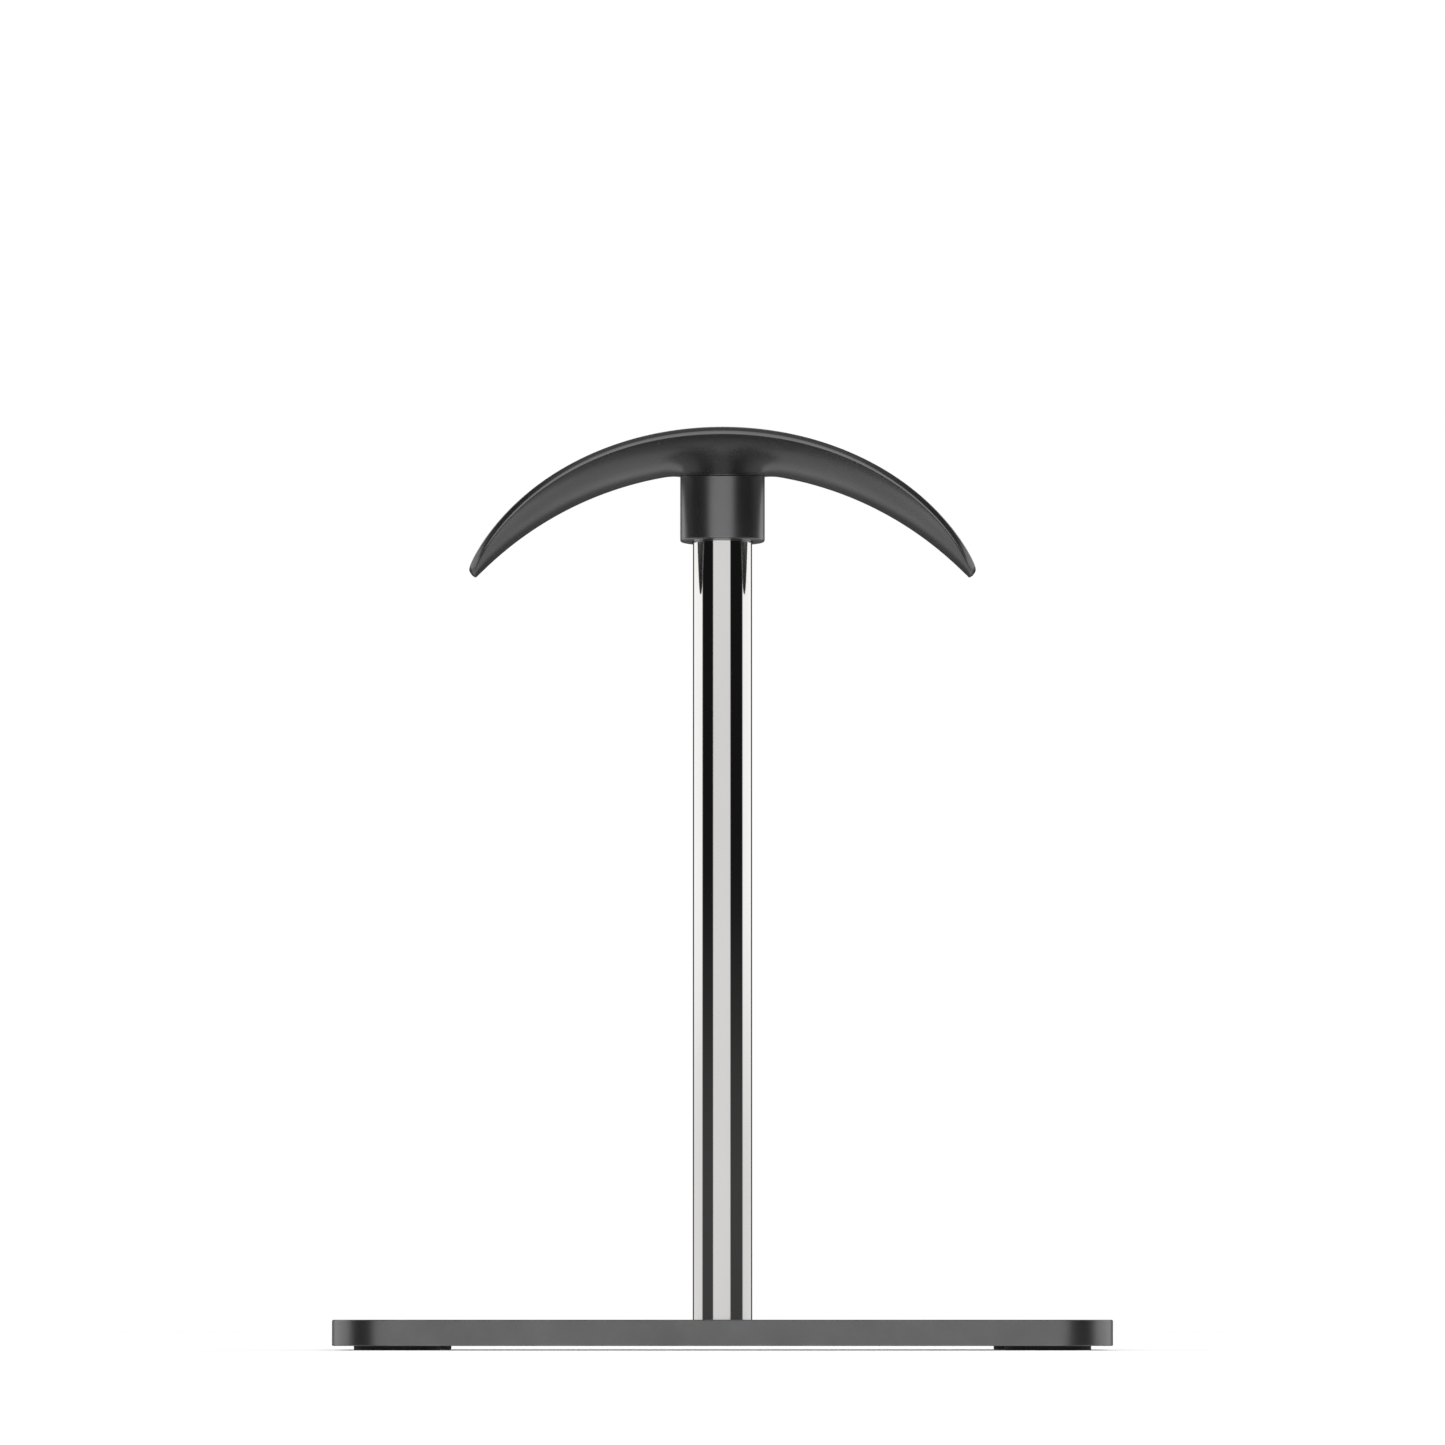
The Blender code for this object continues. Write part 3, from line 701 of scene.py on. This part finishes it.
def build_cradle(material):
    neck_bottom = collar_top() + JOINT_SHOWN
    cradle = new_object("cradle_shell", cradle_mesh(neck_bottom), material)
    seat = collar_top() + M3_SEAT_LIFT
    top = ARCH_TOP + OVERRUN
    bore = [(0.0, neck_bottom - OVERRUN), (M3_CLEAR_R, neck_bottom - OVERRUN), (M3_CLEAR_R, seat),
            (M3_BORE_R, seat), (M3_BORE_R, top), (0.0, top)]
    bore_mesh = turned_mesh("bore", bore, HOLE_TURN)
    carve(cradle, (bore_mesh, (-M3_X, 0.0, 0.0)), (bore_mesh, (M3_X, 0.0, 0.0)))
    dress(cradle, "cradle_black", "cradle_body")


def build_pad(material):
    pad = new_object("cradle_cushion", pad_mesh(), material)
    dress(pad, "pad_silicone", "cradle_pad")


def dress_inner_nodes():
    """Give the CAD nodes that stay their own finishes, by the record's slots."""
    looks = {
        "adhesive": film(),
        "screw_black": turned_steel("blackened_steel", (0.09, 0.09, 0.095), 0.36),
        "plain_steel": turned_steel("plain_turned_steel", (0.56, 0.56, 0.55), 0.32),
        "screw_steel": turned_steel("screw_bright_steel", (0.50, 0.50, 0.49), 0.28),
    }
    for part in frame["record"]["subparts"]:
        if part["material_slot"] in looks:
            for place in frame["nodes"][part["node"]].material_slots:
                place.material = looks[part["material_slot"]]


# Floor, light and camera

FLOOR_REACH = 12.0
FLOOR_DROP = 0.00002


def build_floor():
    bm = bmesh.new()
    bmesh.ops.create_grid(bm, x_segments=4, y_segments=4, size=FLOOR_REACH)
    mesh = bpy.data.meshes.new("floor")
    bm.to_mesh(mesh)
    bm.free()
    floor = new_object("floor", mesh, floor_material())
    floor.location.z = CAD_BOX[0].z - FLOOR_DROP
    floor.visible_glossy = False


# Brightness of each part of the surroundings; a pair is at the horizon and a little above it
FRONT_PANEL = 0.98
DARK_GAP = (0.07, 0.01)
SIDE_SWEEP = (1.0, 1.35)
REAR_CARD = 0.06
OVERHEAD_LIGHT = 1.7
OVERHEAD_TOP = 1.6
OVERHEAD_FRONT = 0.15
OVERHEAD_REAR = 0.06
UNDER_FRONT = 1.2
UNDER_GAP = 0.12
UNDER_SIDE = 0.9
UNDER_REAR = 0.42
BACKDROP = 1.0

# Where one part fades into the next: degrees round from the front, or degrees from the horizon
PANEL_TURN = 3.0
PANEL_TO_GAP = (31.5, 35.5)
GAP_TO_SWEEP = (82.0, 88.5)
SWEEP_TO_CARD = (142.0, 150.0)
OVERHEAD_TO_REAR = (50.0, 90.0)
UNDER_FRONT_TO_GAP = (31.5, 40.0)
UNDER_GAP_TO_SIDE = (78.0, 92.0)
UNDER_SIDE_TO_REAR = (115.0, 150.0)
HORIZON_TO_LIFT = (0.7, 3.3)
SIDES_TO_OVERHEAD = (28.0, 44.0)
OVERHEAD_TO_TOP = (74.0, 84.0)
SIDES_TO_UNDER = (10.0, 26.0)


def build_world():
    """Studio surroundings: a bright panel in front, dark gaps beside it, white sweeps at the sides."""
    world = bpy.data.worlds.new("studio")
    bpy.context.scene.world = world
    world.use_nodes = True
    world.node_tree.nodes.clear()
    t = Tree(world.node_tree)

    parts = t.add("ShaderNodeSeparateXYZ")
    t.link(t.add("ShaderNodeTexCoord").outputs["Generated"], parts.inputs["Vector"])
    x, y, z = parts.outputs["X"], parts.outputs["Y"], parts.outputs["Z"]
    rays = t.add("ShaderNodeLightPath").outputs
    heading = t.math("ARCTAN2", x, t.math("MULTIPLY", y, -1.0))
    from_front = t.math("ABSOLUTE", heading)
    from_panel = t.math("ABSOLUTE", t.math("ADD", heading, math.radians(PANEL_TURN)))

    def bands(first, *rest):
        """Go from the first value to each later one as its angle passes the two given limits."""
        value = first
        for angle, limits, after in rest:
            value = t.blend(t.ease(angle, *map(math.radians, limits)), value, after)
        return value

    def at_height(rise, limits, first, second):
        low, high = (math.sin(math.radians(limit)) for limit in limits)
        return t.blend(t.ease(rise, low, high), first, second)

    gap = at_height(z, HORIZON_TO_LIFT, *DARK_GAP)
    sweep = at_height(z, HORIZON_TO_LIFT, *SIDE_SWEEP)
    value = bands(FRONT_PANEL, (from_panel, PANEL_TO_GAP, gap), (from_front, GAP_TO_SWEEP, sweep),
                  (from_front, SWEEP_TO_CARD, REAR_CARD))
    overhead = bands(OVERHEAD_FRONT, (from_front, OVERHEAD_TO_REAR, OVERHEAD_REAR))
    overhead = at_height(z, OVERHEAD_TO_TOP, overhead, OVERHEAD_TOP)
    overhead = t.blend(rays["Is Glossy Ray"], OVERHEAD_LIGHT, overhead)
    value = at_height(z, SIDES_TO_OVERHEAD, value, overhead)
    under = bands(UNDER_FRONT, (from_panel, UNDER_FRONT_TO_GAP, UNDER_GAP),
                  (from_front, UNDER_GAP_TO_SIDE, UNDER_SIDE), (from_front, UNDER_SIDE_TO_REAR, UNDER_REAR))
    value = at_height(t.math("MULTIPLY", z, -1.0), SIDES_TO_UNDER, value, under)
    value = t.blend(rays["Is Camera Ray"], value, BACKDROP)
    background = t.add("ShaderNodeBackground")
    background.inputs["Color"].default_value = (1.0, 1.0, 1.0, 1.0)
    t.link(value, background.inputs["Strength"])
    t.link(background.outputs["Background"], t.add("ShaderNodeOutputWorld").inputs["Surface"])


# Camera: low in front, looking up slightly, with a long lens
CAMERA_PLACE = Vector((0.0, -2.05, 0.0046))
CAMERA_AIM = Vector((0.0, 0.0, 0.1479))
CAMERA_LENS = 216.6
CAMERA_SENSOR = 36.0
CAMERA_CLIP = (0.05, 60.0)


def build_camera():
    data = bpy.data.cameras.new("camera")
    data.lens = CAMERA_LENS
    data.sensor_width = CAMERA_SENSOR
    data.clip_start, data.clip_end = CAMERA_CLIP
    camera = bpy.data.objects.new("camera", data)
    camera.location = CAMERA_PLACE
    camera.rotation_euler = (CAMERA_AIM - CAMERA_PLACE).to_track_quat("-Z", "Y").to_euler()
    bpy.context.scene.collection.objects.link(camera)
    bpy.context.scene.camera = camera


def build_looks():
    build_plate(satin_black("satin_black_plate", (0.141, 0.141, 0.143), 0.33, (0.24, 0.24, 0.24)))
    build_feet(rubber("black_rubber", (0.04, 0.04, 0.042), 0.7, 1800.0, 0.00002))
    build_tube(chrome())
    build_collar(satin_black("satin_black_collar", (0.161, 0.161, 0.163), 0.32, (0.24, 0.24, 0.24)))
    build_cradle(satin_black("satin_black_cradle", (0.155, 0.155, 0.157), 0.25, (0.22, 0.22, 0.22)))
    build_pad(rubber("black_silicone", (0.022, 0.022, 0.023), 0.6, 2600.0, 0.000012))
    dress_inner_nodes()
    build_floor()
    build_world()
    build_camera()
    scene = bpy.context.scene
    scene.view_settings.view_transform = "Standard"
    scene.view_settings.look = "None"


build_looks()
